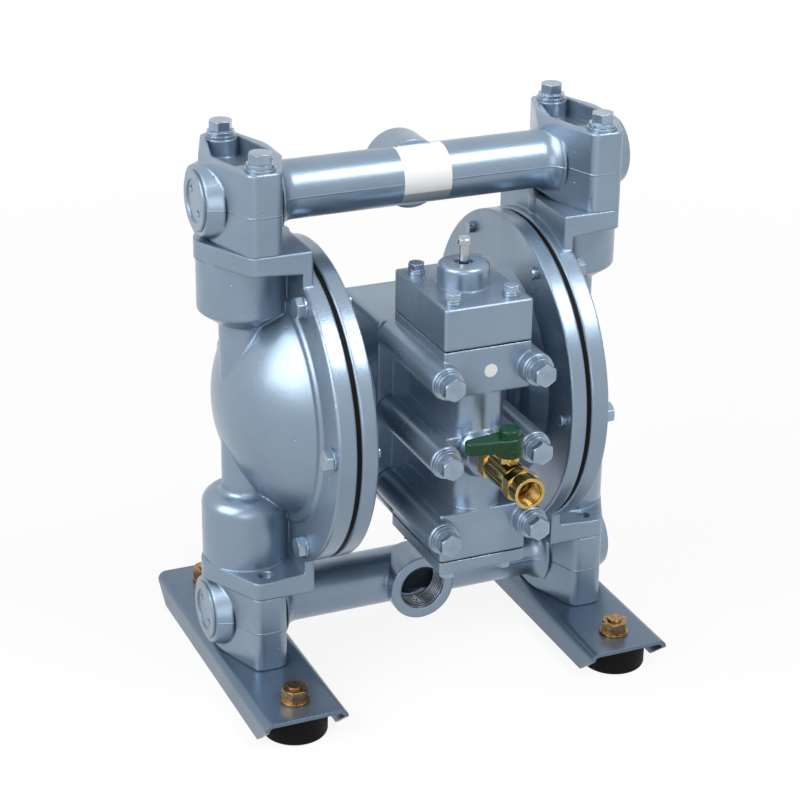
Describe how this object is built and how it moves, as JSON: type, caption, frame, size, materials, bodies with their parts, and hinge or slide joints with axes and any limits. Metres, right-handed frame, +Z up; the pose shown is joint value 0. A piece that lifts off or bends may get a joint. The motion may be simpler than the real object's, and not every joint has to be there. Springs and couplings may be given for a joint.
{
  "type": "air operated diaphragm pump",
  "caption": "Air operated double diaphragm pump: two domed chambers, ball check valves, cross manifolds, shuttle air valve and ball inlet valve on rubber-footed channels.",
  "frame": {"origin": "on the floor, at the middle of the four tapped holes in the rubber feet, straight below the middle of the centre rod", "axes": "+Z up, X along the centre rod through both diaphragms, -Y towards the air valve and the air inlet"},
  "size_m": [0.3106, 0.3065, 0.3945],
  "materials": {
    "painted_castings": "satin",
    "painted_channels": "satin",
    "plug_metal": "satin",
    "steel_fasteners": "satin",
    "zinc_fasteners": "satin",
    "diaphragm_rubber": "matte",
    "seal_rubber": "matte",
    "foot_rubber": "matte",
    "polished_steel": "polished",
    "disk_aluminium": "satin",
    "seat_steel": "satin",
    "ball_plastic": "matte",
    "brass": "polished",
    "ball_chrome": "polished",
    "handle_coating": "gloss",
    "silencer_bronze": "matte"
  },
  "bodies": {
    "pump": {"air_chamber_screws": "steel_fasteners", "air_valve_body": "painted_castings", "air_valve_bolts": "steel_fasteners", "air_valve_gasket": "seal_rubber", "air_valve_washers": "steel_fasteners", "ball_valve_body": "brass", "ball_valve_end": "brass", "ball_valve_seats": "ball_plastic", "bottom_cap": "painted_castings", "cap_bolts": "steel_fasteners", "cap_gaskets": "seal_rubber", "cap_washers": "steel_fasteners", "centre_body": "painted_castings", "check_valve_seats": "seat_steel", "end_plugs": "plug_metal", "flange_bolts": "steel_fasteners", "flange_washers": "steel_fasteners", "foot_nuts": "zinc_fasteners", "foot_studs": "zinc_fasteners", "foot_washers": "zinc_fasteners", "inlet_nipple": "polished_steel", "left_air_chamber": "painted_castings", "left_diaphragm": "diaphragm_rubber", "left_foot_channel": "painted_channels", "left_out_chamber": "painted_castings", "lower_manifold": "painted_castings", "m10_spring_washers": "steel_fasteners", "m6_spring_washers": "steel_fasteners", "manifold_bolts": "steel_fasteners", "manifold_washers": "steel_fasteners", "reset_spring": "polished_steel", "right_air_chamber": "painted_castings", "right_diaphragm": "diaphragm_rubber", "right_foot_channel": "painted_channels", "right_out_chamber": "painted_castings", "rod_bushes": "brass", "rod_seals": "seal_rubber", "rubber_feet": "foot_rubber", "seat_o_rings": "seal_rubber", "silencer": "silencer_bronze", "spool_sleeve": "polished_steel", "top_cap": "painted_castings", "upper_manifold": "painted_castings"},
    "rod": {"centre_rod": "polished_steel", "rod_nuts": "polished_steel", "left_outer_disk": "disk_aluminium", "left_inner_disk": "disk_aluminium", "right_outer_disk": "disk_aluminium", "right_inner_disk": "disk_aluminium"},
    "left_upper_ball": {"left_upper_ball": "ball_plastic"},
    "left_lower_ball": {"left_lower_ball": "ball_plastic"},
    "right_upper_ball": {"right_upper_ball": "ball_plastic"},
    "right_lower_ball": {"right_lower_ball": "ball_plastic"},
    "left_pilot": {"left_pilot_pin": "polished_steel"},
    "right_pilot": {"right_pilot_pin": "polished_steel"},
    "spool": {"spool": "polished_steel"},
    "reset": {"reset_button": "polished_steel"},
    "handle": {"ball_valve_ball": "ball_chrome", "ball_valve_handle": "handle_coating", "handle_nut": "steel_fasteners"}
  },
  "joints": [
    {"name": "rod_stroke", "type": "slide", "parent": "pump", "child": "rod", "axis": [1, 0, 0], "range_m": [-0.009, 0.009], "deforming": ["left_diaphragm", "right_diaphragm"]},
    {"name": "left_upper_ball_lift", "type": "slide", "parent": "pump", "child": "left_upper_ball", "axis": [0, 0, 1], "range_m": [0, 0.008]},
    {"name": "left_lower_ball_lift", "type": "slide", "parent": "pump", "child": "left_lower_ball", "axis": [0, 0, 1], "range_m": [0, 0.008]},
    {"name": "right_upper_ball_lift", "type": "slide", "parent": "pump", "child": "right_upper_ball", "axis": [0, 0, 1], "range_m": [0, 0.008]},
    {"name": "right_lower_ball_lift", "type": "slide", "parent": "pump", "child": "right_lower_ball", "axis": [0, 0, 1], "range_m": [0, 0.008]},
    {"name": "left_pilot_travel", "type": "slide", "parent": "pump", "child": "left_pilot", "axis": [1, 0, 0], "range_m": [0, 0.0025]},
    {"name": "right_pilot_travel", "type": "slide", "parent": "pump", "child": "right_pilot", "axis": [-1, 0, 0], "range_m": [0, 0.0025]},
    {"name": "spool_shift", "type": "slide", "parent": "pump", "child": "spool", "axis": [0, 0, 1], "range_m": [0, 0.012]},
    {"name": "reset_press", "type": "slide", "parent": "pump", "child": "reset", "axis": [0, 0, -1], "range_m": [0, 0.005], "stiffness_N_per_m": 900, "springref_m": -0.001, "deforming": ["reset_spring"]},
    {"name": "handle_turn", "type": "hinge", "parent": "pump", "child": "handle", "pos_m": [0, -0.159, 0.201], "axis": [0, 0, 1], "range_deg": [0, 90]}
  ]
}
